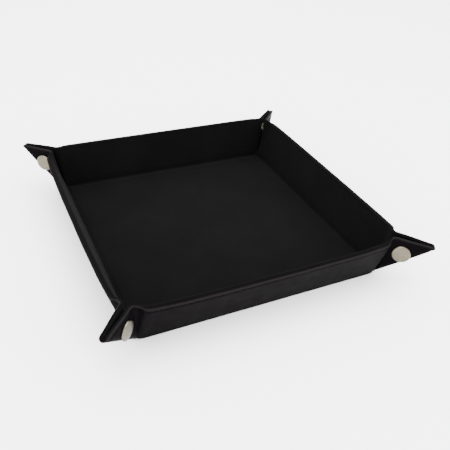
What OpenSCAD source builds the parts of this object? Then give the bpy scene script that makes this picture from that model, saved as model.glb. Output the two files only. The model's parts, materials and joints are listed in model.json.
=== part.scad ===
// Folding dice tray with four snap corners.
// A flat square sandwich of leather cover, stiff boards and soft lining. Four walls fold up from the base
// and the sheet left over at each corner is pinched outwards into an ear of two flaps, held by a snap.
// The model stands in its folded state. Origin: middle of the base underside. +X right, +Y back, +Z up.

/* [Tray] */
// Distance between the crease lines of opposite walls
base_w = 205; // [130:1:320]
// Height of a wall along its slope, from crease line to rim
wall_h = 39.5; // [32:0.5:70]
// Lean of a folded wall, measured up from the flat sheet
wall_angle = 70; // [56:0.5:72]

/* [Sheets] */
// Thickness of the leather cover
cover_t = 1.4; // [0.8:0.1:2]
// Thickness of the stiff boards
board_t = 1.6; // [1:0.1:3]
// Thickness of the velvet lining with its backing
lining_t = 1.2; // [0.8:0.1:2]
// Width of the leather that is turned in along the rim
hem_w = 3; // [2:0.5:6]

/* [Creases] */
// Distance from a crease line to the stiff edge on each side of it
crease_half = 1.9; // [1.8:0.1:4]
// Extra distance that a board stays back from the edge of its panel
board_inset = 1.2; // [0.5:0.1:4]
// Radius of the base corners
base_corner_r = 3; // [1:0.5:8]

/* [Corner flaps] */
// Slope of the folded outer edge of an ear
ear_angle = 41; // [34:0.5:46]
// Distance by which an ear is drawn out along its folded edge
ear_out = 0.3; // [0:0.1:1]
// Gap between the lining faces of the two flaps of an ear
ear_gap = 3.2; // [2.8:0.1:5]
// Length that is cut off the tip of each corner, along the diagonal
tip_cut = 3; // [1:0.5:8]
// Angle of the line where a wall's sheet ends at the corner, from the square end of the wall
wall_end_angle = 4; // [0:0.5:5]
// Angle of the line where the stiff part of a flap starts
flap_start_angle = 18; // [18:0.5:24]
// Distance from the base corner to the start of a flap
flap_start_r = 11; // [11:0.5:16]
// Clearance between pieces that move against each other
clearance = 0.3; // [0.2:0.05:0.5]

/* [Snaps] */
// Distance of a snap from the base corner, along the diagonal fold
snap_along = 28.5; // [22:0.5:45]
// Diameter of the domed cap
cap_d = 15; // [10:0.5:15]
// Distance from the edge of the cap to the diagonal fold
cap_edge = 0.6; // [0.3:0.1:2]
// Height of the domed cap over the leather
cap_h = 1.8; // [1.4:0.1:2.4]
// Diameter of the socket
socket_d = 12; // [9:0.5:12.5]
// Gap between the socket and the stud's base
socket_rest = 0.4; // [0.3:0.05:0.6]
// Diameter of the mouth that takes the stud
mouth_d = 7; // [5.5:0.1:7.5]
// Diameter of the stud's base
stud_base_d = 11; // [8:0.5:12]
// Thickness of the stud's base
stud_base_t = 0.8; // [0.6:0.1:1]
// Gap round the stud's knob in the mouth
knob_gap = 0.6; // [0.4:0.05:0.8]
// Gap between the stud's knob and the rolled tube end in the socket
knob_rest = 0.2; // [0.2:0.05:0.4]
// Diameter of the post's flange
post_d = 10.5; // [8:0.5:12]
// Height of the post's flange over the leather
post_h = 0.9; // [0.8:0.1:1.6]
// Diameter of the rivet tubes that pass through the sheets
tube_d = 3.2; // [2.4:0.1:3.4]

/* [Hidden] */

$fn = 64;

// A wall is drawn as the right-hand one and turned about Z to its side.
RIGHT = 0;
BACK = 90;
LEFT = 180;
FRONT = 270;
// The end of a wall at its +Y end before it is turned, and the end at its -Y end.
AHEAD = 0;
BEHIND = 1;

sheet_t = cover_t + board_t + lining_t;
flap_t = cover_t + lining_t;
crease_z = sheet_t / 2;
crease_x = base_w / 2;
// Levels of the sheets over the middle plane of a wall or of the base
wall_low = -sheet_t / 2;
board_low = wall_low + cover_t;
lining_low = board_low + board_t;
// Levels of the two sheets of a flap, which has no board
flap_low = -flap_t / 2;
flap_lining_low = flap_low + cover_t;
flap_top = flap_low + flap_t;
// Middle plane of a flap to the upright plane through the tray's diagonal
ear_offset = ear_gap / 2 + flap_t / 2;
// Radial clearance of a rivet tube in the pieces it passes through
tube_fit = 0.05;
// Depth by which the post's tube stays below the top of the stud
tube_rest = 0.2;
// Distance of a snap's axis from the diagonal fold
snap_across = cap_d / 2 + cap_edge;
// Height of the socket over the lining, thickness of its floor and height of the rolled tube end over that
socket_h = ear_gap - stud_base_t - socket_rest;
socket_floor_t = socket_h / 5;
tube_roll_h = 0.3;
// Diameter of the stud's knob and its height over the stud's base
knob_d = mouth_d - 2 * knob_gap;
knob_h = ear_gap - stud_base_t - socket_floor_t - tube_roll_h - knob_rest;
// Radius of the fillets on the metal parts
edge_r = 0.35;
// Half width of the stiff base, and the distance by which the foot of a wall stays back from its ends
base_half = crease_x - crease_half;
wall_end_back = 2;

leather = [0.15, 0.14, 0.15];
velvet = [0.10, 0.10, 0.10];
greyboard = [0.55, 0.52, 0.47];
nickel = [0.72, 0.70, 0.64];

// --- Placing ---

// From a sheet lying flat, with x across the crease and y along it, to the folded wall
module on_wall(side) {
    rotate([0, 0, side])
        translate([crease_x, 0, crease_z])
            rotate([0, -wall_angle, 0])
                children();
}

// From the corner square lying flat, with its inner corner at the origin, to the folded flap
module on_flap(side, end) {
    rotate([0, 0, side])
        mirror([0, end, 0])
            translate([crease_x, crease_x, crease_z])
                rotate([0, 0, 45])
                    rotate([0, -ear_angle, 0])
                        translate([ear_out, -ear_offset, 0])
                            rotate([-90, 0, 0])
                                rotate([0, 0, -45])
                                    children();
}

// From a snap part standing on its own axis to its place on a flap
module at_snap() {
    rotate([0, 0, 45])
        translate([snap_along, -snap_across, 0])
            children();
}

// --- Outlines ---

module base_outline(half, r) {
    hull_half = half - r;
    square([2 * half, 2 * hull_half], center = true);
    square([2 * hull_half, 2 * half], center = true);
    for (x = [-hull_half, hull_half], y = [-hull_half, hull_half])
        translate([x, y])
            circle(r);
}

module wall_outline() {
    foot = crease_x - wall_end_back;
    rim = crease_x + wall_h * tan(wall_end_angle);
    polygon([[crease_half, -foot], [wall_h, -rim], [wall_h, rim], [crease_half, foot]]);
}

module hem_outline() {
    intersection() {
        wall_outline();
        translate([wall_h - hem_w, -base_w])
            square([hem_w, 2 * base_w]);
    }
}

module flap_outline() {
    fold_back = clearance * sqrt(2);
    tip = wall_h - tip_cut / sqrt(2);
    start = flap_start_r / sqrt(2);
    polygon([
        flap_start_r * [cos(flap_start_angle), sin(flap_start_angle)],
        [wall_h, wall_h * tan(flap_start_angle)],
        [wall_h, wall_h - tip_cut * sqrt(2)],
        [tip, tip - fold_back],
        [start, start - fold_back]
    ]);
}

module tube_hole() {
    at_snap()
        translate([0, 0, -flap_t])
            cylinder(d = tube_d + 2 * tube_fit, h = 2 * flap_t);
}

// --- Base ---

module base_cover() {
    color(leather)
        linear_extrude(cover_t)
            base_outline(base_half, base_corner_r);
}

module base_board() {
    color(greyboard)
        translate([0, 0, cover_t])
            linear_extrude(board_t)
                base_outline(base_half - board_inset, base_corner_r);
}

module base_lining() {
    color(velvet)
        translate([0, 0, cover_t + board_t])
            linear_extrude(lining_t)
                base_outline(base_half, base_corner_r);
}

// --- Walls ---

module wall_cover(side) {
    color(leather)
        on_wall(side) {
            translate([0, 0, wall_low])
                linear_extrude(cover_t)
                    wall_outline();
            // Leather turned in round the rim
            translate([0, 0, board_low])
                linear_extrude(board_t)
                    hem_outline();
        }
}

module wall_board(side) {
    board_foot = crease_half + board_inset;
    board_h = wall_h - hem_w - board_foot;
    board_w = base_w - 2 * (wall_end_back + board_inset);
    color(greyboard)
        on_wall(side)
            translate([board_foot, -board_w / 2, board_low])
                cube([board_h, board_w, board_t]);
}

module wall_lining(side) {
    color(velvet)
        on_wall(side)
            translate([0, 0, lining_low])
                linear_extrude(lining_t)
                    wall_outline();
}

// --- Corner flaps ---

module flap_cover(side, end) {
    color(leather)
        on_flap(side, end)
            difference() {
                translate([0, 0, flap_low])
                    linear_extrude(cover_t)
                        flap_outline();
                tube_hole();
            }
}

module flap_lining(side, end) {
    color(velvet)
        on_flap(side, end)
            difference() {
                translate([0, 0, flap_lining_low])
                    linear_extrude(lining_t)
                        flap_outline();
                tube_hole();
            }
}

// --- Snaps. The cap and the socket hold one flap, the post and the stud hold the other ---

// Domed cap on the leather side, with the rivet tube that passes through to the socket
module snap_cap(side, end) {
    cap_r = cap_d / 2;
    rise = cap_h - edge_r;
    dome_r = (cap_r * cap_r + rise * rise) / (2 * rise);
    color(nickel)
        on_flap(side, end)
            at_snap() {
                intersection() {
                    translate([0, 0, flap_low - cap_h])
                        cylinder(r = cap_r, h = cap_h);
                    translate([0, 0, flap_low - cap_h + dome_r])
                        sphere(dome_r, $fn = 128);
                }
                translate([0, 0, flap_low])
                    cylinder(d = tube_d, h = flap_t + socket_floor_t + tube_roll_h);
            }
}

// Socket on the lining side, with the mouth that takes the stud
module snap_socket(side, end) {
    socket_r = socket_d / 2;
    mouth_r = mouth_d / 2;
    tube_r = tube_d / 2 + tube_fit;
    color(nickel)
        on_flap(side, end)
            at_snap()
                translate([0, 0, flap_top])
                    rotate_extrude()
                        polygon([
                            [tube_r, 0], [socket_r, 0], [socket_r, socket_h - 2 * edge_r],
                            [socket_r - 2 * edge_r, socket_h], [mouth_r, socket_h],
                            [mouth_r, socket_floor_t], [tube_r, socket_floor_t]
                        ]);
}

// Stud on the lining side of the facing flap
module snap_stud(side, end) {
    base_r = stud_base_d / 2;
    knob_r = knob_d / 2;
    tube_r = tube_d / 2 + tube_fit;
    top = stud_base_t + knob_h;
    color(nickel)
        on_flap(side, end)
            at_snap()
                translate([0, 0, flap_top])
                    rotate_extrude()
                        polygon([
                            [tube_r, 0], [base_r, 0], [base_r, stud_base_t],
                            [knob_r - edge_r, stud_base_t], [knob_r, stud_base_t + knob_h / 2],
                            [knob_r - edge_r, top - edge_r], [knob_r - 2 * edge_r, top], [tube_r, top]
                        ]);
}

// Post on the leather side, with the rivet tube that passes through to the stud
module snap_post(side, end) {
    post_r = post_d / 2;
    color(nickel)
        on_flap(side, end)
            at_snap() {
                translate([0, 0, flap_low - post_h])
                    rotate_extrude()
                        polygon([
                            [0, 0], [post_r - 2 * edge_r, 0], [post_r, edge_r * 1.5],
                            [post_r, post_h], [0, post_h]
                        ]);
                translate([0, 0, flap_low])
                    cylinder(d = tube_d, h = flap_t + stud_base_t + knob_h - tube_rest);
            }
}

base_cover();
base_board();
base_lining();

wall_cover(FRONT);  // front_wall_cover
wall_board(FRONT);  // front_wall_board
wall_lining(FRONT);  // front_wall_lining
wall_cover(RIGHT);  // right_wall_cover
wall_board(RIGHT);  // right_wall_board
wall_lining(RIGHT);  // right_wall_lining
wall_cover(BACK);  // back_wall_cover
wall_board(BACK);  // back_wall_board
wall_lining(BACK);  // back_wall_lining
wall_cover(LEFT);  // left_wall_cover
wall_board(LEFT);  // left_wall_board
wall_lining(LEFT);  // left_wall_lining

flap_cover(FRONT, BEHIND);  // front_wall_left_flap_cover
flap_lining(FRONT, BEHIND);  // front_wall_left_flap_lining
flap_cover(FRONT, AHEAD);  // front_wall_right_flap_cover
flap_lining(FRONT, AHEAD);  // front_wall_right_flap_lining
flap_cover(RIGHT, BEHIND);  // right_wall_front_flap_cover
flap_lining(RIGHT, BEHIND);  // right_wall_front_flap_lining
flap_cover(RIGHT, AHEAD);  // right_wall_back_flap_cover
flap_lining(RIGHT, AHEAD);  // right_wall_back_flap_lining
flap_cover(BACK, BEHIND);  // back_wall_right_flap_cover
flap_lining(BACK, BEHIND);  // back_wall_right_flap_lining
flap_cover(BACK, AHEAD);  // back_wall_left_flap_cover
flap_lining(BACK, AHEAD);  // back_wall_left_flap_lining
flap_cover(LEFT, BEHIND);  // left_wall_back_flap_cover
flap_lining(LEFT, BEHIND);  // left_wall_back_flap_lining
flap_cover(LEFT, AHEAD);  // left_wall_front_flap_cover
flap_lining(LEFT, AHEAD);  // left_wall_front_flap_lining

snap_cap(FRONT, BEHIND);  // front_left_snap_cap
snap_socket(FRONT, BEHIND);  // front_left_snap_socket
snap_stud(LEFT, AHEAD);  // front_left_snap_stud
snap_post(LEFT, AHEAD);  // front_left_snap_post
snap_cap(FRONT, AHEAD);  // front_right_snap_cap
snap_socket(FRONT, AHEAD);  // front_right_snap_socket
snap_stud(RIGHT, BEHIND);  // front_right_snap_stud
snap_post(RIGHT, BEHIND);  // front_right_snap_post
snap_cap(RIGHT, AHEAD);  // back_right_snap_cap
snap_socket(RIGHT, AHEAD);  // back_right_snap_socket
snap_stud(BACK, BEHIND);  // back_right_snap_stud
snap_post(BACK, BEHIND);  // back_right_snap_post
snap_cap(LEFT, BEHIND);  // back_left_snap_cap
snap_socket(LEFT, BEHIND);  // back_left_snap_socket
snap_stud(BACK, AHEAD);  // back_left_snap_stud
snap_post(BACK, AHEAD);  // back_left_snap_post
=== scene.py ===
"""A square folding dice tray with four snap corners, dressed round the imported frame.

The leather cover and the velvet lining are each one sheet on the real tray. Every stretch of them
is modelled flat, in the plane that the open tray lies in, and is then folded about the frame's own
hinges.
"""

import json
import logging
import math
from collections.abc import Callable, Iterable, Sequence
from dataclasses import dataclass, field
from enum import Enum

import bmesh
import bpy
from bmesh.types import BMesh, BMVert
from bpy.types import Material, Node, NodeSocket, Object
from mathutils import Matrix, Vector, noise


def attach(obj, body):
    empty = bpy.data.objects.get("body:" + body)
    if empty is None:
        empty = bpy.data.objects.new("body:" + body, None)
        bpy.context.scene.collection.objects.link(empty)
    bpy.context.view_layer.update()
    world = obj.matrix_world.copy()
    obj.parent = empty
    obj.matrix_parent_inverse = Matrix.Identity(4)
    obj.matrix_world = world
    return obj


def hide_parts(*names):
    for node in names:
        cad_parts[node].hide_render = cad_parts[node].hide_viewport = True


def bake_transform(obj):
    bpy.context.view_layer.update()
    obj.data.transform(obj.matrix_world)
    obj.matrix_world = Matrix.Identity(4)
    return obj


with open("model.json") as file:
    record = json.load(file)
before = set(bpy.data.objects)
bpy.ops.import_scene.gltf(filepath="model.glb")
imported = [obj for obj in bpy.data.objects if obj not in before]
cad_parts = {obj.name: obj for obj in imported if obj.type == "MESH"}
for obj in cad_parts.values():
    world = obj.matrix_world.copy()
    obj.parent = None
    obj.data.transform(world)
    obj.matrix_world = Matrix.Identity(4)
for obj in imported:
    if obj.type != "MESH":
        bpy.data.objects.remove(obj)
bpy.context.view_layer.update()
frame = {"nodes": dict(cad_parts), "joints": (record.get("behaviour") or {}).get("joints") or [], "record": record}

log = logging.getLogger("dice_tray")

MM = 0.001
ROOT_2 = math.sqrt(2)
# Edges that turn further than this stay sharp.
SHARP = math.radians(35)
# Places closer than this count as one.
SAME = 1e-6
# A face whose normal rises more than this faces up.
UPWARDS = 0.9

Colour = tuple[float, float, float]


class Side(Enum):
    """The four walls, each with its turn about Z from the right-hand one."""

    RIGHT = 0
    BACK = 90
    LEFT = 180
    FRONT = 270

    @property
    def word(self) -> str:
        """The side's name as the frame spells it."""
        return self.name.lower()

    @property
    def wall(self) -> str:
        """The frame's name for this side's wall."""
        return f"{self.word}_wall"

    @property
    def turn(self) -> Matrix:
        """The turn that carries the right-hand wall to this side."""
        return Matrix.Rotation(math.radians(self.value), 4, "Z")

    def beside(self, end: "End") -> "Side":
        """The wall that this one meets at the given end."""
        step = 90 if end is End.AHEAD else -90
        return Side((self.value + step) % 360)

    def flap(self, end: "End") -> str:
        """The frame's name for the flap at one end of this side's wall."""
        return f"{self.wall}_{self.beside(end).word}_flap"


class End(Enum):
    """The two ends of a wall, before it is turned to its side."""

    AHEAD = 1
    BEHIND = -1

    @property
    def mirror(self) -> Matrix:
        """The mirroring that carries the end ahead to this one."""
        return Matrix.Diagonal((1, self.value, 1, 1))


class Layer(Enum):
    """The layers of the sheet, from the outside in, each with its finish's slot."""

    COVER = "outer_leather"
    BOARD = "greyboard"
    LINING = "velvet_lining"

    @property
    def word(self) -> str:
        """How the names of this layer's pieces end."""
        return {Layer.COVER: "leather", Layer.BOARD: "board_core", Layer.LINING: "velvet"}[self]

    @property
    def node(self) -> str:
        """How the frame's names for this layer end."""
        return {Layer.COVER: "cover", Layer.BOARD: "board", Layer.LINING: "lining"}[self]


def ease(x: float) -> float:
    """A smooth step from 0 to 1."""
    x = min(1.0, max(0.0, x))
    return x * x * (3 - 2 * x)


def mix(a: float, b: float, share: float) -> float:
    """The value at a share of the way from a to b."""
    return a + (b - a) * share


def square_to(vector: Vector, line: Vector) -> Vector:
    """The direction of a vector once its part along a line is taken away."""
    along = line.normalized()
    return (vector - along * vector.dot(along)).normalized()


# --- Sizes and folds ---


@dataclass(frozen=True)
class Hinge:
    """A fold line of the frame, with the turn between its folded and its flat state."""

    point: Vector
    axis: Vector
    turn: float

    @classmethod
    def of_joint(cls, name: str, turn: float) -> "Hinge":
        """Read a hinge from the frame.

        Args:
            name: The joint's name.
            turn: Its turn from folded to flat, in radians.

        Returns:
            The hinge, in metres.
        """
        joint = next(j for j in frame["joints"] if j["name"] == name)
        return cls(Vector(joint["pos_m"]), Vector(joint["axis"]).normalized(), turn)

    def fold(self, point: Vector, share: float) -> Vector:
        """A flat point after this share of the fold."""
        return Matrix.Rotation(-self.turn * share, 3, self.axis) @ (point - self.point) + self.point


def follow_ratio(name: str) -> float:
    """How far a coupled joint turns for each degree of the fold that it follows."""
    coupling = next(c for c in frame["record"]["behaviour"]["couplings"] if c["joint"] == name)
    return coupling["ratio"]


@dataclass(frozen=True)
class TraySizes:
    """Sizes of the sheets that all pieces share, in metres and radians."""

    wall: float = 39.5 * MM
    lean: float = math.radians(70)
    cover_t: float = 1.4 * MM
    board_t: float = 1.6 * MM
    lining_t: float = 1.2 * MM
    hem: float = 3 * MM
    tip_cut: float = 3 * MM
    crease_reach: float = 4 * MM
    corner_reach: float = 0.8 * MM
    base_gap: float = 5 * MM
    stitch_in: float = 3.3 * MM

    @property
    def low(self) -> float:
        """Level of the outer leather face under the middle of the sheet."""
        return -(self.cover_t + self.board_t + self.lining_t) / 2

    @property
    def board_low(self) -> float:
        """Level of the outer face of the boards."""
        return self.low + self.cover_t

    @property
    def lining_low(self) -> float:
        """Level where the lining starts."""
        return self.board_low + self.board_t

    @property
    def top(self) -> float:
        """Level of the velvet face."""
        return self.lining_low + self.lining_t

    def levels(self, layer: Layer) -> tuple[float, float]:
        """The lower and upper level of a layer.

        Args:
            layer: The layer.

        Returns:
            The two levels.
        """
        marks = {
            Layer.COVER: (self.low, self.board_low),
            Layer.BOARD: (self.board_low, self.lining_low),
            Layer.LINING: (self.lining_low, self.top),
        }
        return marks[layer]

    def face(self, layer: Layer) -> float:
        """The level of the face that a soft layer shows."""
        return self.low if layer is Layer.COVER else self.top


@dataclass(frozen=True)
class FoldedSheet:
    """How a flat sheet folds: up at a wall's crease, and outwards into the ears at its ends.

    A flat point is (across, along, level): across the crease outwards from it, along it from the
    middle of the wall, and up through the sheet from its middle plane.
    """

    sizes: TraySizes
    crease: Hinge
    ear: Hinge
    half: float
    ear_offset: float = 2.9 * MM
    lead_in: float = math.radians(16)
    bend_end: float = math.radians(13)
    bend_reach: float = 8.5 * MM
    end_share: float = 0.55
    corner_run: float = 0.2 * MM
    blend_reach: float = 5 * MM
    blend_slant: float = 0.6
    rounds: int = 6
    roll_reach: float = 4.2 * MM
    pinch: float = 1.1 * MM
    pinch_start: float = 36 * MM
    pinch_run: float = 16 * MM
    lift_run: float = 4.5 * MM
    narrowing: float = 8 * MM
    bow: float = math.radians(-1.4)
    end_lean: float = math.radians(1.6)
    end_run: float = 34 * MM
    ripple: float = 0.35 * MM
    ripple_pitch: float = 46 * MM
    ripple_run: float = 18 * MM

    def lifted(self, level: float, past: float) -> float:
        """The level of a point once the cover has closed up to the lining past the board's end."""
        room = min(1.0, max(0.0, (self.sizes.lining_low - level) / self.sizes.board_t))
        return level + self.sizes.board_t * room * ease((past + self.lift_run) / self.lift_run)

    def turn_share(self, across: float, level: float, past: float) -> float:
        """The share of the crease's turn that a point takes.

        Args:
            across: Distance across the crease.
            level: Level in the sheet.
            past: Distance past the wall's end, negative within it.

        Returns:
            A share from 0, on the base, to 1, on the wall.
        """
        sizes = self.sizes
        narrowed = ease((past + self.narrowing) / self.narrowing)
        reach = mix(sizes.crease_reach, sizes.corner_reach, narrowed)
        share = ease((across + reach) / (2 * reach))
        if abs(across) > reach:
            return share
        half_turn = sizes.lean / 2
        for _ in range(self.rounds):
            angle = sizes.lean * share
            x = across * math.cos(angle) - level * math.sin(angle)
            z = across * math.sin(angle) + level * math.cos(angle)
            along_blend = x * math.cos(half_turn) + z * math.sin(half_turn)
            share = ease(0.5 + along_blend / (2 * reach * math.cos(half_turn)))
        return share

    def rolled(
        self, across: float, past: float, level: float, share: float
    ) -> tuple[float, float, float]:
        """Roll the sheet round the folded lower edge of an ear, so that its two flaps meet.

        Args:
            across: Distance across the crease.
            past: Distance past the end of the wall.
            level: Level in the sheet.
            share: How much of the roll to take.

        Returns:
            The point's new across, past and level.
        """
        from_fold = (across - past) / ROOT_2
        along_fold = (across + past) / ROOT_2
        closing = self.pinch * ease((along_fold - self.pinch_start) / self.pinch_run)
        if from_fold >= self.roll_reach:
            return across, past, level + closing * share
        middle = self.sizes.board_t / 2
        radius = self.ear_offset - (level - middle)
        angle = math.pi / 2 * (1 - from_fold / self.roll_reach)
        new_from = mix(from_fold, self.roll_reach - radius * math.sin(angle), share)
        closing *= 1 - ease(angle / (math.pi / 2))
        new_level = mix(level, middle + self.ear_offset - radius * math.cos(angle) + closing, share)
        return (along_fold + new_from) / ROOT_2, (along_fold - new_from) / ROOT_2, new_level

    def extra_lean(self, across: float, past: float) -> float:
        """How much steeper than its fold a wall stands: less at its middle, more at its ends.

        Args:
            across: Distance across the crease.
            past: Distance past the wall's end, negative within it.

        Returns:
            An angle in radians.
        """
        if across <= 0:
            return 0.0
        out = 1 + past / self.half
        near_end = ease((past + self.end_run) / self.end_run)
        return self.bow * max(0.0, 1 - out * out) + self.end_lean * near_end

    def bend_share(self, across: float, past: float) -> float:
        """The share of the ear's turn that a point takes, slow within the wall and quick beyond it.

        Args:
            across: Distance across the crease.
            past: Distance past the wall's end, negative within it.

        Returns:
            A share from 0, on the wall, to 1, on the flap.
        """
        across = max(across, SAME)
        if past < 0:
            place = self.end_share * (1 + past / (across * math.tan(self.lead_in)))
        else:
            reach = min(across * math.tan(self.bend_end), self.bend_reach)
            place = self.end_share + (1 - self.end_share) * past / reach
        return ease(place) ** 2

    def place(self, flat: Vector, seed: float = 0.0) -> Vector:
        """Fold one flat point of the right-hand wall.

        Args:
            flat: The point's across, along and level.
            seed: Place of this wall in the pattern of slight ripples.

        Returns:
            The folded point, in the tray's own frame.
        """
        across, along, level = flat
        wave = noise.noise(Vector((across / self.ripple_pitch, along / self.ripple_pitch, seed)))
        past = abs(along) - self.half
        level = self.lifted(level, past) + self.ripple * wave * ease(across / self.ripple_run)
        bend = self.bend_share(across, past) if across > 0 else ease(past / self.corner_run)
        if across > 0 and past > 0:
            share = ease(math.atan2(past, across) / self.bend_end)
            across, past, level = self.rolled(across, past, level, share)
        share = self.turn_share(across, level, past)
        turn = (self.sizes.lean + self.extra_lean(across, past) * (1 - bend)) * share
        centre = self.crease.point
        point = Vector((
            centre.x + across * math.cos(turn) - level * math.sin(turn),
            self.half + past,
            centre.z + across * math.sin(turn) + level * math.cos(turn),
        ))
        if bend > 0:
            point = self.ear.fold(point, bend)
        if along < 0:
            point.y = -point.y
        return point

    def crease_blend(self) -> tuple[Vector, Vector]:
        """Where the sheet stops following the base, and where it follows the wall."""
        half_turn = self.sizes.lean / 2
        reach = self.sizes.crease_reach * math.cos(half_turn)
        step = Vector((math.cos(half_turn), 0, math.sin(half_turn))) * reach
        middle = Vector((self.crease.point.x, 0, self.crease.point.z))
        return middle - step, middle + step

    def ear_blend(self) -> tuple[Vector, Vector]:
        """Where the sheet leaves the wall, all along its end, and where it follows the flap."""
        rim, low = self.sizes.wall, self.sizes.low
        start = self.place(Vector((rim, self.half, low)))
        seam = start - self.place(Vector((rim / 2, self.half, low)))
        stiff = self.place(Vector((rim, self.half + self.bend_reach, low)))
        tip = self.place(Vector((rim, self.half + 2 * self.bend_reach, low)))
        outwards, sideways = square_to(tip - stiff, seam), square_to(stiff - start, seam)
        direction = (outwards + self.blend_slant * sideways).normalized()
        return start, start + direction * self.blend_reach

    def flap_matrix(self) -> Matrix:
        """The move that folds the stiff part of a flap, from the flat sheet to the ear."""
        lay = Matrix.Translation(self.crease.point)
        wall = lay @ Matrix.Rotation(-self.crease.turn, 4, self.crease.axis)
        pivot = Matrix.Translation(self.ear.point)
        flap = pivot @ Matrix.Rotation(-self.ear.turn, 4, self.ear.axis) @ pivot.inverted()
        return flap @ wall


# --- Finishes ---

# --- Finishes ---


class NodeSketch:
    """A material's node tree, filled node by node."""

    def __init__(self, name: str) -> None:
        """Start a material with its shader and its object coordinates.

        Args:
            name: The material's name.
        """
        self.material = bpy.data.materials.new(name)
        self.material.use_nodes = True
        self.tree = self.material.node_tree
        self.shader = self.tree.nodes["Principled BSDF"]
        self.coordinates = self.tree.nodes.new("ShaderNodeTexCoord").outputs["Object"]

    def fill(self, node: Node, inputs: dict[str, object]) -> None:
        """Set or link a node's inputs.

        Args:
            node: The node.
            inputs: Values or outputs, by input name with underscores for spaces.
        """
        for name, value in inputs.items():
            socket = node.inputs[name.replace("_", " ")]
            if isinstance(value, NodeSocket):
                self.tree.links.new(value, socket)
            else:
                socket.default_value = value

    def node(self, kind: str, **inputs: object) -> Node:
        """Add a node.

        Args:
            kind: The node's type without its ShaderNode prefix.
            **inputs: Values or outputs for its inputs, by name with underscores for spaces.

        Returns:
            The new node.
        """
        node = self.tree.nodes.new("ShaderNode" + kind)
        self.fill(node, inputs)
        return node

    def noise(self, scale: float, detail: float = 2.0, rough: float = 0.5) -> NodeSocket:
        """Add a noise pattern with this many waves to the metre."""
        settings = {"Scale": scale, "Detail": detail, "Roughness": rough}
        return self.node("TexNoise", Vector=self.coordinates, **settings).outputs["Fac"]

    def cells(self, scale: float, feature: str, smoothness: float = 0.0) -> NodeSocket:
        """Add a cell pattern, such as leather grain.

        Args:
            scale: How many cells there are to the metre.
            feature: Which distance the pattern shows.
            smoothness: How far neighbouring cells run into each other.

        Returns:
            The pattern's output.
        """
        node = self.node("TexVoronoi", Vector=self.coordinates, Scale=scale)
        node.feature = feature
        if feature == "SMOOTH_F1":
            node.inputs["Smoothness"].default_value = smoothness
        return node.outputs["Distance"]

    def span(
        self, value: NodeSocket, source: Sequence[float], to: Sequence[float] = (0, 1)
    ) -> NodeSocket:
        """Carry a value from one range to another."""
        ends = zip(("From_Min", "From_Max", "To_Min", "To_Max"), (*source, *to))
        return self.node("MapRange", Value=value, **dict(ends)).outputs["Result"]

    def blend(
        self,
        share: NodeSocket,
        a: NodeSocket | Colour,
        b: Colour,
    ) -> NodeSocket:
        """Blend two colours.

        Args:
            share: How much of the second colour to take.
            a: The first colour, as an output or as red, green and blue.
            b: The second colour, as red, green and blue.

        Returns:
            The blended colour.
        """
        node = self.node("Mix")
        node.data_type = "RGBA"
        first = a if isinstance(a, NodeSocket) else (*a, 1)
        self.fill(node, {"Factor": share, "A": first, "B": (*b, 1)})
        return node.outputs["Result"]

    def attribute(self, name: str) -> NodeSocket:
        """Read a value that the piece's own mesh carries.

        Args:
            name: The attribute's name.

        Returns:
            The value.
        """
        node = self.node("Attribute")
        node.attribute_name = name
        return node.outputs["Fac"]

    def bump(self, heights: Sequence[tuple[NodeSocket, float, float]]) -> None:
        """Stack bumps on the shader.

        Args:
            heights: Each height pattern with its strength and its height in metres.
        """
        normal = None
        for height, strength, distance in heights:
            node = self.node("Bump", Height=height, Strength=strength, Distance=distance)
            if normal is not None:
                self.tree.links.new(normal, node.inputs["Normal"])
            normal = node.outputs["Normal"]
        self.tree.links.new(normal, self.shader.inputs["Normal"])

    def surface(self, **inputs: object) -> Material:
        """Set the shader's own inputs and return the material."""
        self.fill(self.shader, inputs)
        return self.material


@dataclass(frozen=True)
class GrainedLeather:
    """Black grained leather with a soft sheen, and a highlight painted in a lighter colour along its rim."""

    dark: Colour = (0.0012, 0.0009, 0.0011)
    worn: Colour = (0.0016, 0.0012, 0.0015)
    # Lighter colour along the rim's outer edge: a painted highlight.
    edge: Colour = (0.0085, 0.0075, 0.0079)
    pebble: float = 900
    crease: float = 420

    def material(self) -> Material:
        """Make the leather."""
        sketch = NodeSketch("black_grained_leather")
        pebbles = sketch.cells(self.pebble, "SMOOTH_F1", 0.6)
        creases = sketch.cells(self.crease, "DISTANCE_TO_EDGE")
        broad = sketch.noise(38, detail=3)
        pores = sketch.noise(5200, detail=2)
        body = sketch.blend(sketch.span(broad, (0.3, 0.7)), self.dark, self.worn)
        # The rim's highlight is painted into the colour, by the share that each vertex carries.
        colour = sketch.blend(sketch.attribute("edge"), body, self.edge)
        rough = sketch.span(sketch.noise(160, detail=4, rough=0.6), (0.3, 0.7), (0.42, 0.54))
        sketch.bump((
            (sketch.span(creases, (0, 0.16)), 0.30, 0.10 * MM),
            (pebbles, 0.45, 0.16 * MM),
            (pores, 0.18, 0.03 * MM),
            (sketch.noise(70, detail=3), 0.25, 0.5 * MM),
        ))
        return sketch.surface(Base_Color=colour, Roughness=rough, Specular_IOR_Level=0.007)


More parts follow.
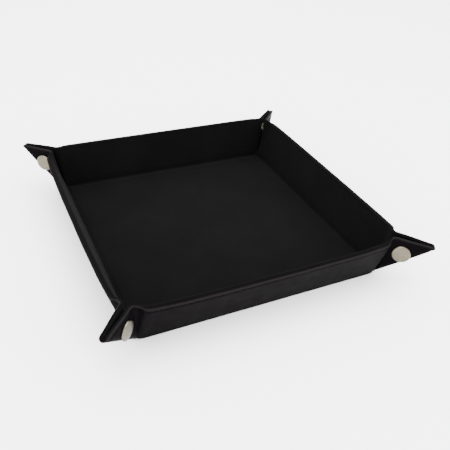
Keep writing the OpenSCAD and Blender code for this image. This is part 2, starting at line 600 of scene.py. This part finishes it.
@dataclass(frozen=True)
class ShortVelvet:
    """Black short-napped velvet."""

    deep: Colour = (0.0012, 0.0012, 0.0012)
    brushed: Colour = (0.0017, 0.0017, 0.0017)

    def material(self) -> Material:
        """Make the velvet."""
        sketch = NodeSketch("black_velvet")
        strokes = sketch.noise(24, detail=4, rough=0.62)
        fibres = sketch.noise(3600, detail=3, rough=0.7)
        nap = sketch.noise(900, detail=2)
        patches = sketch.blend(sketch.span(strokes, (0.32, 0.68)), self.deep, self.brushed)
        rough = sketch.span(nap, (0.3, 0.7), (0.82, 1.0))
        sketch.bump(((fibres, 0.5, 0.10 * MM), (nap, 0.35, 0.12 * MM), (strokes, 0.2, 0.6 * MM)))
        return sketch.surface(
            Base_Color=patches, Roughness=rough, Specular_IOR_Level=0.02,
            Sheen_Weight=0.012, Sheen_Roughness=0.45, Sheen_Tint=(0.75, 0.75, 0.77, 1),
        )


@dataclass(frozen=True)
class PressedBoard:
    """Grey pressed board, which the sheets hide."""

    pale: Colour = (0.33, 0.30, 0.25)
    dark: Colour = (0.22, 0.20, 0.17)

    def material(self) -> Material:
        """Make the board."""
        sketch = NodeSketch("grey_pressed_board")
        fibres = sketch.noise(700, detail=5, rough=0.7)
        colour = sketch.blend(sketch.span(fibres, (0.3, 0.7)), self.pale, self.dark)
        sketch.bump(((fibres, 0.4, 0.1 * MM),))
        rough = sketch.span(sketch.noise(250, detail=3), (0.3, 0.7), (0.8, 0.95))
        return sketch.surface(Base_Color=colour, Roughness=rough)


@dataclass(frozen=True)
class SatinNickel:
    """Warm nickel plate, finely worn."""

    bright: Colour = (0.115, 0.103, 0.076)
    dull: Colour = (0.085, 0.075, 0.055)

    def material(self) -> Material:
        """Make the nickel."""
        sketch = NodeSketch("warm_satin_nickel")
        clouds = sketch.noise(420, detail=4, rough=0.6)
        scratches = sketch.node(
            "TexNoise", Vector=sketch.coordinates, Scale=1500.0, Detail=3.0, Distortion=3.0
        ).outputs["Fac"]
        colour = sketch.blend(sketch.span(clouds, (0.35, 0.7)), self.bright, self.dull)
        rough = sketch.span(scratches, (0.35, 0.65), (0.20, 0.34))
        sketch.bump(((scratches, 0.12, 0.02 * MM), (sketch.noise(5000, detail=1), 0.08, 0.01 * MM)))
        return sketch.surface(Base_Color=colour, Roughness=rough, Metallic=1.0)


@dataclass(frozen=True)
class WaxedThread:
    """Black waxed sewing thread."""

    dark: Colour = (0.0014, 0.0012, 0.0014)
    light: Colour = (0.0034, 0.0030, 0.0032)

    def material(self) -> Material:
        """Make the thread."""
        sketch = NodeSketch("black_waxed_thread")
        plies = sketch.noise(4200, detail=2)
        colour = sketch.blend(sketch.span(plies, (0.3, 0.7)), self.dark, self.light)
        rough = sketch.span(sketch.noise(900, detail=2), (0.3, 0.7), (0.45, 0.62))
        sketch.bump(((plies, 0.5, 0.06 * MM),))
        return sketch.surface(Base_Color=colour, Roughness=rough, Specular_IOR_Level=0.01)


@dataclass(frozen=True)
class Finishes:
    """Every finish of the tray, made once."""

    leather: Material = field(default_factory=lambda: GrainedLeather().material())
    velvet: Material = field(default_factory=lambda: ShortVelvet().material())
    board: Material = field(default_factory=lambda: PressedBoard().material())
    nickel: Material = field(default_factory=lambda: SatinNickel().material())
    thread: Material = field(default_factory=lambda: WaxedThread().material())

    def of_layer(self, layer: Layer) -> Material:
        """The finish of a layer of the sheet."""
        soft = self.leather if layer is Layer.COVER else self.velvet
        return self.board if layer is Layer.BOARD else soft


# --- Mesh work ---


def cut(bm: BMesh, point: Vector, normal: Vector, trim: bool = False) -> None:
    """Cut a mesh along a plane.

    Args:
        bm: The mesh.
        point: A point of the plane.
        normal: The plane's normal.
        trim: Whether what lies on the normal's side is removed.
    """
    bmesh.ops.bisect_plane(
        bm, geom=bm.verts[:] + bm.edges[:] + bm.faces[:], dist=SAME,
        plane_co=point, plane_no=normal, clear_outer=trim,
    )


def lift(bm: BMesh, geometry: Iterable[object], height: float) -> None:
    """Lift the vertices among some of a mesh's elements."""
    verts = [v for v in geometry if isinstance(v, BMVert)]
    bmesh.ops.translate(bm, verts=verts, vec=(0, 0, height))


def plate(low: Vector, high: Vector, cuts: Iterable[tuple[Vector, Vector]]) -> BMesh:
    """Make a flat plate and trim it to its outline.

    Args:
        low: Its lowest corner.
        high: Its highest corner.
        cuts: Upright planes as (point, normal), each of which removes its normal's side.

    Returns:
        A closed plate.
    """
    bm = bmesh.new()
    size = high - low
    centre = Vector(((low.x + high.x) / 2, (low.y + high.y) / 2, low.z))
    lay = Matrix.Translation(centre) @ Matrix.Diagonal((size.x, size.y, 1, 1))
    bmesh.ops.create_grid(bm, x_segments=1, y_segments=1, size=0.5, matrix=lay)
    for point, normal in cuts:
        cut(bm, point, normal, trim=True)
    raised = bmesh.ops.extrude_face_region(bm, geom=bm.faces[:], use_keep_orig=True)
    lift(bm, raised["geom"], size.z)
    bmesh.ops.recalc_face_normals(bm, faces=bm.faces[:])
    return bm


def round_off(
    bm: BMesh, radius: float, chosen: Callable[[Vector], bool], segments: int = 3
) -> None:
    """Round the sharp edges whose middle is chosen.

    Args:
        bm: The mesh.
        radius: The radius of the rounding.
        chosen: Tells from an edge's middle whether to round it.
        segments: How many facets make the rounding.
    """
    edges = [
        e for e in bm.edges
        if len(e.link_faces) == 2
        and e.calc_face_angle() > SHARP
        and abs(e.verts[0].co.z - e.verts[1].co.z) < SAME
        and chosen((e.verts[0].co + e.verts[1].co) / 2)
    ]
    bmesh.ops.bevel(
        bm, geom=edges, offset=radius, segments=segments, profile=0.5, affect="EDGES", material=-1
    )


def slice_up(bm: BMesh, axis: int, places: Iterable[float]) -> None:
    """Cut a mesh into strips without parting it.

    Args:
        bm: The mesh.
        axis: 0 for cuts across X and 1 for cuts across Y.
        places: Where the cuts go.
    """
    normal = Vector((1, 0, 0)) if axis == 0 else Vector((0, 1, 0))
    for place in places:
        cut(bm, normal * place, normal)


def steps(low: float, high: float, pitch: float) -> list[float]:
    """Evenly spaced places between two ends, which are left out."""
    count = max(1, round((high - low) / pitch))
    return [mix(low, high, i / count) for i in range(1, count)]


def mould(bm: BMesh, shape: Callable[[Vector], Vector]) -> None:
    """Move every vertex of a mesh to where the shape puts it."""
    for vert in bm.verts:
        vert.co = shape(vert.co.copy())


def finish_piece(bm: BMesh, name: str, material: Material) -> Object:
    """Turn a mesh into a piece, smooth but for its sharp edges.

    Args:
        bm: The mesh, which is freed.
        name: The piece's name.
        material: Its finish.

    Returns:
        The piece.
    """
    bmesh.ops.triangulate(bm, faces=[f for f in bm.faces if len(f.verts) > 4])
    for face in bm.faces:
        face.smooth = True
    for edge in bm.edges:
        edge.smooth = len(edge.link_faces) == 2 and edge.calc_face_angle() < SHARP
    mesh = bpy.data.meshes.new(name)
    bm.to_mesh(mesh)
    bm.free()
    mesh.materials.append(material)
    piece = bpy.data.objects.new(name, mesh)
    bpy.context.scene.collection.objects.link(piece)
    log.info("%s: %d faces", name, len(mesh.polygons))
    return piece


# --- The sheets ---


@dataclass
class Sheets:
    """The leather, the boards and the velvet, stretch by stretch."""

    sizes: TraySizes
    sheet: FoldedSheet
    finishes: Finishes
    rim_r: float = 0.6 * MM
    edge_r: float = 0.35 * MM
    velvet_back: float = 0.5 * MM
    board_back: float = 1.2 * MM
    outline_slack: float = 0.2 * MM
    groove: float = 0.28 * MM
    groove_w: float = 0.75 * MM
    groove_cuts: tuple[float, ...] = (-1.6, -0.8, 0, 0.8, 1.6)
    # Width of the highlight painted along the leather's outer rim.
    rim_highlight_width: float = 1.1 * MM
    base_cell: float = 8 * MM
    cell: float = 1.7 * MM
    cell_stretch: float = 1.4
    crease_cell: float = 0.9 * MM
    end_cell: float = 1.0 * MM
    flap_cell: float = 1.1 * MM
    ear_bend: float = 6 * MM
    ear_bend_cell: float = 0.6 * MM
    ear_cell: float = 1.2 * MM
    roll_cell: float = 0.6 * MM

    def rim_distance(self, across: float, along: float) -> float:
        """Distance of a flat point from the outer edge of the whole sheet.

        Args:
            across: Distance across the crease.
            along: Distance along it from the middle of the wall.

        Returns:
            The distance, negative outside the sheet.
        """
        sizes = self.sizes
        past = abs(along) - self.sheet.half
        from_tip = ROOT_2 * sizes.wall - sizes.tip_cut - (across + past) / ROOT_2
        return min(sizes.wall - across, sizes.wall - past, from_tip)

    def pressed(self, layer: Layer) -> Callable[[Vector], Vector]:
        """The groove that the stitching presses into a soft layer's face.

        Args:
            layer: The layer.

        Returns:
            A function that presses one flat point.
        """
        face = self.sizes.face(layer)
        inward = 1 if layer is Layer.COVER else -1

        def press(co: Vector) -> Vector:
            """Press one flat point.

            Args:
                co: The point.

            Returns:
                The pressed point.
            """
            if abs(co.z - face) < SAME:
                away = (self.rim_distance(co.x, co.y) - self.sizes.stitch_in) / self.groove_w
                co.z += inward * self.groove * math.exp(-away * away)
            return co

        return press

    def mark_rim_highlight(self, bm: BMesh) -> None:
        """Record how much painted highlight each vertex of the flat leather takes: only its turned outer edge
        takes any.

        Args:
            bm: The flat mesh.
        """
        # Each vertex's share of the painted rim highlight.
        rim_highlight_share = bm.verts.layers.float.new("edge")
        for vert in bm.verts:
            across, along, level = vert.co
            from_rim = self.rim_distance(across, along)
            from_face = abs(level - self.sizes.low)
            near_face = ease(1 - from_face / self.rim_highlight_width)
            vert[rim_highlight_share] = ease(1 - from_rim / self.rim_highlight_width) * near_face

    def rim_slices(self) -> list[float]:
        """Extra cuts on both sides of the stitch line."""
        row = self.sizes.wall - self.sizes.stitch_in
        return [row + self.groove_w * k for k in self.groove_cuts]

    def fold_up(self, bm: BMesh, side: Side, end: End = End.AHEAD) -> BMesh:
        """Fold a flat mesh with the sheet, and carry it to its wall.

        Args:
            bm: The mesh, flat beside the right-hand wall.
            side: The wall that it belongs to.
            end: The end of the wall. The mesh is mirrored to the one behind.

        Returns:
            The same mesh, folded.
        """
        place, seed = self.sheet.place, side.value
        mould(bm, lambda co: place(Vector((co.x, co.y * end.value, co.z)), seed))
        bmesh.ops.transform(bm, matrix=side.turn, verts=bm.verts[:])
        if end is End.BEHIND:
            bmesh.ops.reverse_faces(bm, faces=bm.faces[:])
        return bm

    def round_rim(self, bm: BMesh, layer: Layer, outer: Callable[[Vector], bool]) -> None:
        """Round a soft layer's outer edges, most of all along the face that it shows.

        Args:
            bm: The flat mesh.
            layer: The layer.
            outer: Tells from an edge's middle whether it is an outer edge.
        """
        face = self.sizes.face(layer)
        round_off(bm, self.rim_r, lambda middle: outer(middle) and abs(middle.z - face) < SAME)
        round_off(bm, self.edge_r, outer)

    def base(self, layer: Layer) -> None:
        """Make the flat middle of a layer.

        Args:
            layer: The layer.
        """
        half = self.sheet.half - self.sizes.base_gap
        low, high = (z + self.sheet.crease.point.z for z in self.sizes.levels(layer))
        bm = plate(Vector((-half, -half, low)), Vector((half, half, high)), ())
        for axis in (0, 1):
            slice_up(bm, axis, steps(-half, half, self.base_cell))
        piece = finish_piece(bm, f"base_{layer.word}", self.finishes.of_layer(layer))
        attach(piece, "base")
        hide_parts(f"base_{layer.node}")

    def hem(self, bm: BMesh) -> None:
        """Turn the flat leather in round the rim, as a thicker edge.

        Args:
            bm: The flat mesh of a wall's leather.
        """
        start = self.sizes.wall - self.sizes.hem
        slice_up(bm, 0, [start])
        upper = (f for f in bm.faces if f.normal.z > UPWARDS)
        faces = [f for f in upper if f.calc_center_median().x > start]
        raised = bmesh.ops.extrude_face_region(bm, geom=faces)
        lift(bm, raised["geom"], self.sizes.board_t)
        inside = [f for f in faces if f.is_valid]
        bmesh.ops.delete(bm, geom=inside, context="FACES")

    def flat_wall(self, layer: Layer) -> tuple[BMesh, float]:
        """Cut out a wall's stretch of a layer, with the crease that joins it to the base.

        Args:
            layer: The layer.

        Returns:
            The flat mesh, and the distance of its rim from the crease.
        """
        sizes, half = self.sizes, self.sheet.half
        low, high = sizes.levels(layer)
        foot, rim, end = -sizes.base_gap, sizes.wall, half
        if layer is Layer.BOARD:
            foot = sizes.crease_reach
            rim = sizes.wall - sizes.hem
            end = half - self.sheet.lift_run - self.board_back
        if layer is Layer.LINING:
            rim -= self.velvet_back
        corner = Vector((0, half, 0))
        mitres = [(corner, Vector((-1, 1, 0))), (-corner, Vector((-1, -1, 0)))]
        bm = plate(Vector((foot, -end, low)), Vector((rim, end, high)), mitres)
        if layer is Layer.COVER:
            self.hem(bm)
        if layer is not Layer.BOARD:
            self.round_rim(bm, layer, lambda middle: middle.x > rim - SAME)
        reach = sizes.crease_reach
        fine = steps(-reach, reach, self.crease_cell)
        coarse = steps(reach, rim - sizes.hem, self.cell)
        slice_up(bm, 0, [*fine, *coarse, *self.rim_slices()])
        even = steps(-half, half, self.cell * self.cell_stretch)
        near_end = steps(half - self.sheet.narrowing, half, self.end_cell)
        slice_up(bm, 1, [*even, *near_end, *(-y for y in near_end)])
        return bm, rim

    def wall(self, side: Side, layer: Layer) -> None:
        """Make a wall's stretch of a layer.

        Args:
            side: The wall.
            layer: The layer.
        """
        bm, rim = self.flat_wall(layer)
        if layer is not Layer.BOARD:
            self.mark_rim_highlight(bm)
            mould(bm, self.pressed(layer))
        self.fold_up(bm, side)
        piece = finish_piece(bm, f"{side.wall}_{layer.word}", self.finishes.of_layer(layer))
        if layer is Layer.BOARD:
            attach(piece, side.wall)
        else:
            start, stop = (side.turn @ p for p in self.sheet.crease_blend())
            side.wall
            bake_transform(piece)
            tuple(start)
            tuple(stop)
        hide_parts(f"{side.wall}_{layer.node}")

    def tip_cuts(self, rim: float) -> list[tuple[Vector, Vector]]:
        """The plane along a corner's diagonal fold, and the one that cuts off its tip.

        Args:
            rim: Distance of the layer's rim from the crease.

        Returns:
            Each plane as a point and a normal.
        """
        corner = Vector((0, self.sheet.half, 0))
        tip = rim - self.sizes.tip_cut / ROOT_2
        return [
            (corner, Vector((-1, 1, 0))),
            (corner + Vector((tip, tip, 0)), Vector((1, 1, 0))),
        ]

    def flat_flap(self, layer: Layer, rim: float) -> BMesh:
        """Cut out a flap's stretch of a layer, from the wall's end to the ear's diagonal fold.

        Args:
            layer: The layer.
            rim: Distance of the layer's rim from the crease.

        Returns:
            The flat mesh, at the end ahead.
        """
        half = self.sheet.half
        low, high = self.sizes.levels(layer)
        bm = plate(Vector((0, half, low)), Vector((rim, half + rim, high)), self.tip_cuts(rim))
        near_rim = self.velvet_back + self.outline_slack

        def outer(middle: Vector) -> bool:
            """Tell whether an edge lies on the outline of the whole sheet.

            Args:
                middle: The edge's middle.

            Returns:
                True on the outline.
            """
            past = middle.y - half
            on_seam = past <= SAME or middle.x - past <= SAME
            return not on_seam and self.rim_distance(middle.x, middle.y) < near_rim

        self.round_rim(bm, layer, outer)
        slice_up(bm, 0, [*steps(0, rim - self.sizes.hem, self.flap_cell), *self.rim_slices()])
        bend = half + self.ear_bend
        fine = steps(half, bend, self.ear_bend_cell)
        slice_up(bm, 1, [*fine, *steps(bend, half + rim, self.ear_cell)])
        for reach in steps(0, self.sheet.roll_reach, self.roll_cell):
            cut(bm, Vector((reach * ROOT_2, half, 0)), Vector((1, -1, 0)).normalized())
        return bm

    def flap(self, side: Side, end: End, layer: Layer) -> None:
        """Make a flap's stretch of a layer.

        Args:
            side: The wall that the flap belongs to.
            end: The end of the wall.
            layer: The layer.
        """
        rim = self.sizes.wall - (self.velvet_back if layer is Layer.LINING else 0)
        bm = self.flat_flap(layer, rim)
        self.mark_rim_highlight(bm)
        mould(bm, self.pressed(layer))
        self.fold_up(bm, side, end)
        flap = side.flap(end)
        piece = finish_piece(bm, f"{flap}_{layer.word}", self.finishes.of_layer(layer))
        self.blend_flap(piece, side, end)
        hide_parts(f"{flap}_{layer.node}")

    def blend_flap(self, piece: Object, side: Side, end: End) -> None:
        """Work out where a piece leaves a wall for one of its flaps, and bake its place into its mesh."""
        start, stop = (side.turn @ end.mirror @ p for p in self.sheet.ear_blend())
        side.wall
        side.flap(end)
        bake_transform(piece)
        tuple(start)
        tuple(stop)

    def build(self) -> None:
        """Make every stretch of the sheets."""
        for layer in (Layer.COVER, Layer.LINING):
            self.base(layer)
        for side in Side:
            for layer in Layer:
                self.wall(side, layer)
            for end in End:
                self.flap(side, end, Layer.COVER)
                self.flap(side, end, Layer.LINING)


# --- The stitching ---


@dataclass
class Stitching:
    """The seam that runs round the rim, through all the layers."""

    sheets: Sheets
    pitch: float = 3.3 * MM
    length: float = 2.7 * MM
    thread: float = 0.5 * MM
    slant: float = math.radians(6)
    raised_share: float = 0.3
    tip_share: float = 0.7

    def row(self, reach: tuple[float, float]) -> Iterable[Matrix]:
        """Places of the stitches in one row along the rim.

        Args:
            reach: Where the row starts and ends, as distances past the wall's middle.

        Returns:
            The place of each stitch.
        """
        sizes = self.sheets.sizes
        first, last = reach
        count = round((last - first) / self.pitch)
        for i in range(count):
            at = first + (i + 0.5) * (last - first) / count
            spot = Vector((sizes.wall - sizes.stitch_in, at, 0))
            yield Matrix.Translation(spot) @ Matrix.Rotation(self.slant, 4, "Z")

    def stitches(self, reach: tuple[float, float]) -> BMesh:
        """Make a row of stitches on both faces of the flat sheet.

        Args:
            reach: Where the row starts and ends, as distances past the wall's middle.

        Returns:
            The flat mesh.
        """
        sizes = self.sheets.sizes
        bm = bmesh.new()
        depth = self.sheets.groove - self.thread * self.raised_share
        shape = Matrix.Diagonal((self.thread / 2, self.length / 2, self.thread / 2, 1))
        for place in self.row(reach):
            for level in (sizes.low + depth, sizes.top - depth):
                lay = Matrix.Translation((0, 0, level)) @ place @ shape
                bmesh.ops.create_uvsphere(bm, u_segments=8, v_segments=6, radius=1, matrix=lay)
        return bm

    def sew(self, where: str, reach: tuple[float, float], side: Side, end: End) -> Object:
        """Sew one row along a wall or a flap, and fold it with the sheet that it sits on."""
        bm = self.sheets.fold_up(self.stitches(reach), side, end)
        return finish_piece(bm, f"{where}_stitching", self.sheets.finishes.thread)

    def build(self) -> None:
        """Sew every wall and every flap."""
        sizes, sheet = self.sheets.sizes, self.sheets.sheet
        half = sheet.half
        tip = half + sizes.wall - sizes.stitch_in - sheet.roll_reach * self.tip_share
        for side in Side:
            piece = self.sew(side.wall, (-half, half), side, End.AHEAD)
            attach(piece, side.wall)
            for end in End:
                piece = self.sew(side.flap(end), (half, tip), side, end)
                self.sheets.blend_flap(piece, side, end)


# --- The snaps ---


@dataclass(frozen=True)
class Turning:
    """A metal part turned from a half section of (radius, height) points, in millimetres."""

    points: tuple[tuple[float, float], ...]
    closed: bool = False
    steps: int = 56

    def mesh(self) -> BMesh:
        """Spin the half section round its axis."""
        bm = bmesh.new()
        verts = [bm.verts.new((r * MM, 0, h * MM)) for r, h in self.points]
        pairs = list(zip(verts, verts[1:]))
        if self.closed:
            pairs.append((verts[-1], verts[0]))
        edges = [bm.edges.new(pair) for pair in pairs]
        bmesh.ops.spin(
            bm, geom=verts + edges, cent=(0, 0, 0), axis=(0, 0, 1), angle=math.tau,
            steps=self.steps, use_merge=True,
        )
        bmesh.ops.remove_doubles(bm, verts=bm.verts[:], dist=1e-6)
        bmesh.ops.recalc_face_normals(bm, faces=bm.faces[:])
        return bm


@dataclass(frozen=True)
class Snap:
    """A press snap: cap and socket on one flap, post and stud on the facing one.

    Sections of turned parts, and the lengths that they are worked out from, are in millimetres.
    """

    sheets: Sheets
    along: float = 28.5 * MM
    across: float = 8.1 * MM
    flap_t: float = 2.6
    rivet_reach: float = 0.4
    tube_reach: float = 2.1

    def cap(self) -> list[Turning]:
        """The domed cap with its rolled rim, and the rivet's rolled end."""
        crown_r, crown_h, sag = 6.3, 1.78, 0.42
        rings = (0, 1.6, 3.2, 4.6, 5.6, crown_r)
        crown = tuple((r, crown_h - sag * (r / crown_r) ** 2) for r in rings)
        rim = (
            (6.7, 1.24), (7.05, 1.02), (7.34, 0.72), (7.48, 0.42),
            (7.44, 0.16), (7.2, 0.0), (0, 0.0),
        )
        roll = self.flap_t + self.rivet_reach
        rivet = (
            (0, 0.01), (1.55, 0.01), (1.55, -roll), (2.3, -roll), (2.3, -roll - 0.18),
            (2.0, -roll - 0.3), (1.2, -roll - 0.3), (0.9, -roll - 0.12), (0.8, -roll), (0, -roll),
        )
        return [Turning(crown + rim), Turning(rivet)]

    def socket(self) -> list[Turning]:
        """The socket, with a rolled outer wall and a rounded mouth."""
        ring = (
            (2.4, 0), (5.6, 0), (5.9, 0.15), (6.0, 0.5), (6.0, 1.3), (5.85, 1.7),
            (5.5, 1.93), (5.0, 2.0), (4.1, 2.0), (3.75, 1.92), (3.52, 1.7), (3.5, 1.4),
            (3.9, 1.05), (4.1, 0.7), (3.9, 0.4), (2.4, 0.4),
        )
        return [Turning(ring, closed=True)]

    def stud(self) -> list[Turning]:
        """The stud, with a rolled foot and a waisted knob round the rivet's end."""
        knob = (
            (1.65, 0), (5.2, 0), (5.45, 0.15), (5.5, 0.4), (5.4, 0.65), (5.1, 0.8),
            (3.1, 0.8), (2.75, 0.9), (2.6, 1.15), (2.75, 1.4), (2.9, 1.65), (2.85, 1.95),
            (2.6, 2.2), (2.2, 2.3), (1.9, 2.25), (1.65, 2.0),
        )
        return [Turning(knob, closed=True)]

    def post(self) -> list[Turning]:
        """The post's round flange with a dimpled middle, and its tube."""
        flange = (
            (0, 0.42), (0.9, 0.45), (1.5, 0.6), (1.9, 0.8), (2.4, 0.88), (3.4, 0.88),
            (4.4, 0.78), (4.95, 0.58), (5.2, 0.32), (5.22, 0.12), (5.1, 0.0), (0, 0.0),
        )
        reach = self.flap_t + self.tube_reach
        tube = (
            (0, 0.01), (1.6, 0.01), (1.6, -reach), (1.4, -reach - 0.12), (1.1, -reach),
            (1.05, -reach + 0.6), (0, -reach + 0.6),
        )
        return [Turning(flange), Turning(tube)]

    def place(self, side: Side, end: End, outside: bool) -> Matrix:
        """The place of a snap part on its flap.

        Args:
            side: The wall that the flap belongs to.
            end: The end of the wall.
            outside: Whether the part stands outwards on the leather, or on the velvet.

        Returns:
            The move from the part's own axis to its place.
        """
        sheet = self.sheets.sheet
        across = (self.along + self.across) / ROOT_2
        past = (self.along - self.across) / ROOT_2
        middle = self.sheets.sizes.board_t / 2
        half_t = self.flap_t * MM / 2
        level = middle - half_t if outside else middle + half_t
        spot = Matrix.Translation((across, sheet.half, level)) @ Matrix.Translation((0, past, 0))
        upright = Matrix.Rotation(math.pi, 4, "X") if outside else Matrix.Identity(4)
        return side.turn @ end.mirror @ sheet.flap_matrix() @ spot @ upright

    def part(
        self, name: tuple[str, str], pieces: list[Turning], side: Side, end: End, outside: bool
    ) -> None:
        """Make one part of a snap and let it ride on its flap.

        Args:
            name: The corner and the part's role.
            pieces: What the part is made of.
            side: The wall that its flap belongs to.
            end: The end of the wall.
            outside: Whether the part stands outwards on the leather, or on the velvet.
        """
        bm = bmesh.new()
        for turning in pieces:
            turned = turning.mesh()
            mesh = bpy.data.meshes.new("turning")
            turned.to_mesh(mesh)
            turned.free()
            bm.from_mesh(mesh)
            bpy.data.meshes.remove(mesh)
        bmesh.ops.transform(bm, matrix=self.place(side, end, outside), verts=bm.verts[:])
        if end is End.BEHIND:
            bmesh.ops.reverse_faces(bm, faces=bm.faces[:])
        corner, role = name
        piece = finish_piece(bm, f"{corner}_{role}", self.sheets.finishes.nickel)
        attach(piece, side.flap(end))
        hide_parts(f"{corner}_snap_{role}")

    def build(self) -> None:
        """Make the four snaps."""
        corners = {
            "front_left": ((Side.FRONT, End.BEHIND), (Side.LEFT, End.AHEAD)),
            "front_right": ((Side.FRONT, End.AHEAD), (Side.RIGHT, End.BEHIND)),
            "back_right": ((Side.RIGHT, End.AHEAD), (Side.BACK, End.BEHIND)),
            "back_left": ((Side.LEFT, End.BEHIND), (Side.BACK, End.AHEAD)),
        }
        for corner, (capped, studded) in corners.items():
            self.part((corner, "cap"), self.cap(), *capped, outside=True)
            self.part((corner, "socket"), self.socket(), *capped, outside=False)
            self.part((corner, "stud"), self.stud(), *studded, outside=False)
            self.part((corner, "post"), self.post(), *studded, outside=True)


# --- The studio ---


@dataclass(frozen=True)
class Lamp:
    """A soft square light that faces the middle of the tray, with its power in watts."""

    name: str
    size: float
    power: float
    at: tuple[float, float, float]

    def hang(self) -> None:
        """Hang the light."""
        data = bpy.data.lights.new(self.name, "AREA")
        data.shape = "SQUARE"
        data.size = self.size
        data.energy = self.power
        lamp = bpy.data.objects.new(self.name, data)
        bpy.context.scene.collection.objects.link(lamp)
        at = Vector(self.at)
        facing = at.to_track_quat("Z", "Y").to_matrix().to_4x4()
        lamp.matrix_world = Matrix.Translation(at) @ facing


@dataclass(frozen=True)
class Studio:
    """A pale floor, soft light and the camera."""

    azimuth: float = math.radians(-28.32)
    elevation: float = math.radians(35.34)
    distance: float = 512.97 * MM
    roll: float = math.radians(4.94)
    lens: float = 45.94
    target: tuple[float, float, float] = (15.43 * MM, -0.66 * MM, 0.0)
    floor_reach: float = 6
    floor_tones: tuple[float, float] = (0.90, 0.92)
    sky: float = 4.8
    lamps: tuple[Lamp, ...] = (
        Lamp("overhead", size=1.4, power=40, at=(0.1, 0.2, 1.5)),
        Lamp("left_fill", size=1.0, power=14, at=(-1.3, -0.7, 0.8)),
        Lamp("right_fill", size=1.0, power=12, at=(1.3, -0.9, 0.9)),
    )

    def camera(self) -> None:
        """Set up the camera."""
        back = Vector((
            math.sin(self.azimuth) * math.cos(self.elevation),
            -math.cos(self.azimuth) * math.cos(self.elevation),
            math.sin(self.elevation),
        ))
        level = Vector((math.cos(self.azimuth), math.sin(self.azimuth), 0))
        upright = back.cross(level)
        right = level * math.cos(self.roll) + upright * math.sin(self.roll)
        up = upright * math.cos(self.roll) - level * math.sin(self.roll)
        data = bpy.data.cameras.new("camera")
        data.lens = self.lens
        data.sensor_width = 36
        data.clip_start = 0.01
        camera = bpy.data.objects.new("camera", data)
        bpy.context.scene.collection.objects.link(camera)
        turn = Matrix((right, up, back)).transposed().to_4x4()
        camera.matrix_world = Matrix.Translation(Vector(self.target) + back * self.distance) @ turn
        bpy.context.scene.camera = camera

    def floor(self) -> None:
        """Lay the floor."""
        bm = bmesh.new()
        bmesh.ops.create_grid(bm, x_segments=1, y_segments=1, size=self.floor_reach)
        sketch = NodeSketch("pale_floor")
        dark, light = ((tone,) * 3 for tone in self.floor_tones)
        tone = sketch.blend(sketch.noise(3), dark, light)
        material = sketch.surface(Base_Color=tone, Roughness=0.95, Specular_IOR_Level=0.1)
        finish_piece(bm, "floor", material)

    def build(self) -> None:
        """Set up the whole studio."""
        self.camera()
        self.floor()
        for lamp in self.lamps:
            lamp.hang()
        world = bpy.data.worlds.new("soft_sky")
        world.use_nodes = True
        background = world.node_tree.nodes["Background"]
        background.inputs["Color"].default_value = (1, 1, 1, 1)
        background.inputs["Strength"].default_value = self.sky
        bpy.context.scene.world = world


def folded_sheet(sizes: TraySizes) -> FoldedSheet:
    """Read the folds of the right-hand wall from the frame.

    Args:
        sizes: The sizes of the sheets.

    Returns:
        The sheet, with the wall's crease and the ear's hinge.
    """
    ear = "right_wall_back_flap_fold"
    crease = Hinge.of_joint("right_wall_fold", sizes.lean)
    hinge = Hinge.of_joint(ear, sizes.lean * follow_ratio(ear))
    return FoldedSheet(sizes=sizes, crease=crease, ear=hinge, half=crease.point.x)


def dress_boards(finishes: Finishes) -> None:
    """Give the base board, the one frame piece that stays, its finish.

    Args:
        finishes: The finishes of the tray.
    """
    board = frame["nodes"]["base_board"]
    board.data.materials.clear()
    board.data.materials.append(finishes.board)


def main() -> None:
    """Build the tray round the frame."""
    logging.basicConfig(level=logging.INFO, format="%(name)s: %(message)s")
    Studio().build()
    sizes = TraySizes()
    finishes = Finishes()
    sheets = Sheets(sizes=sizes, sheet=folded_sheet(sizes), finishes=finishes)
    sheets.build()
    Stitching(sheets).build()
    Snap(sheets).build()
    dress_boards(finishes)


if __name__ == "__main__":
    main()
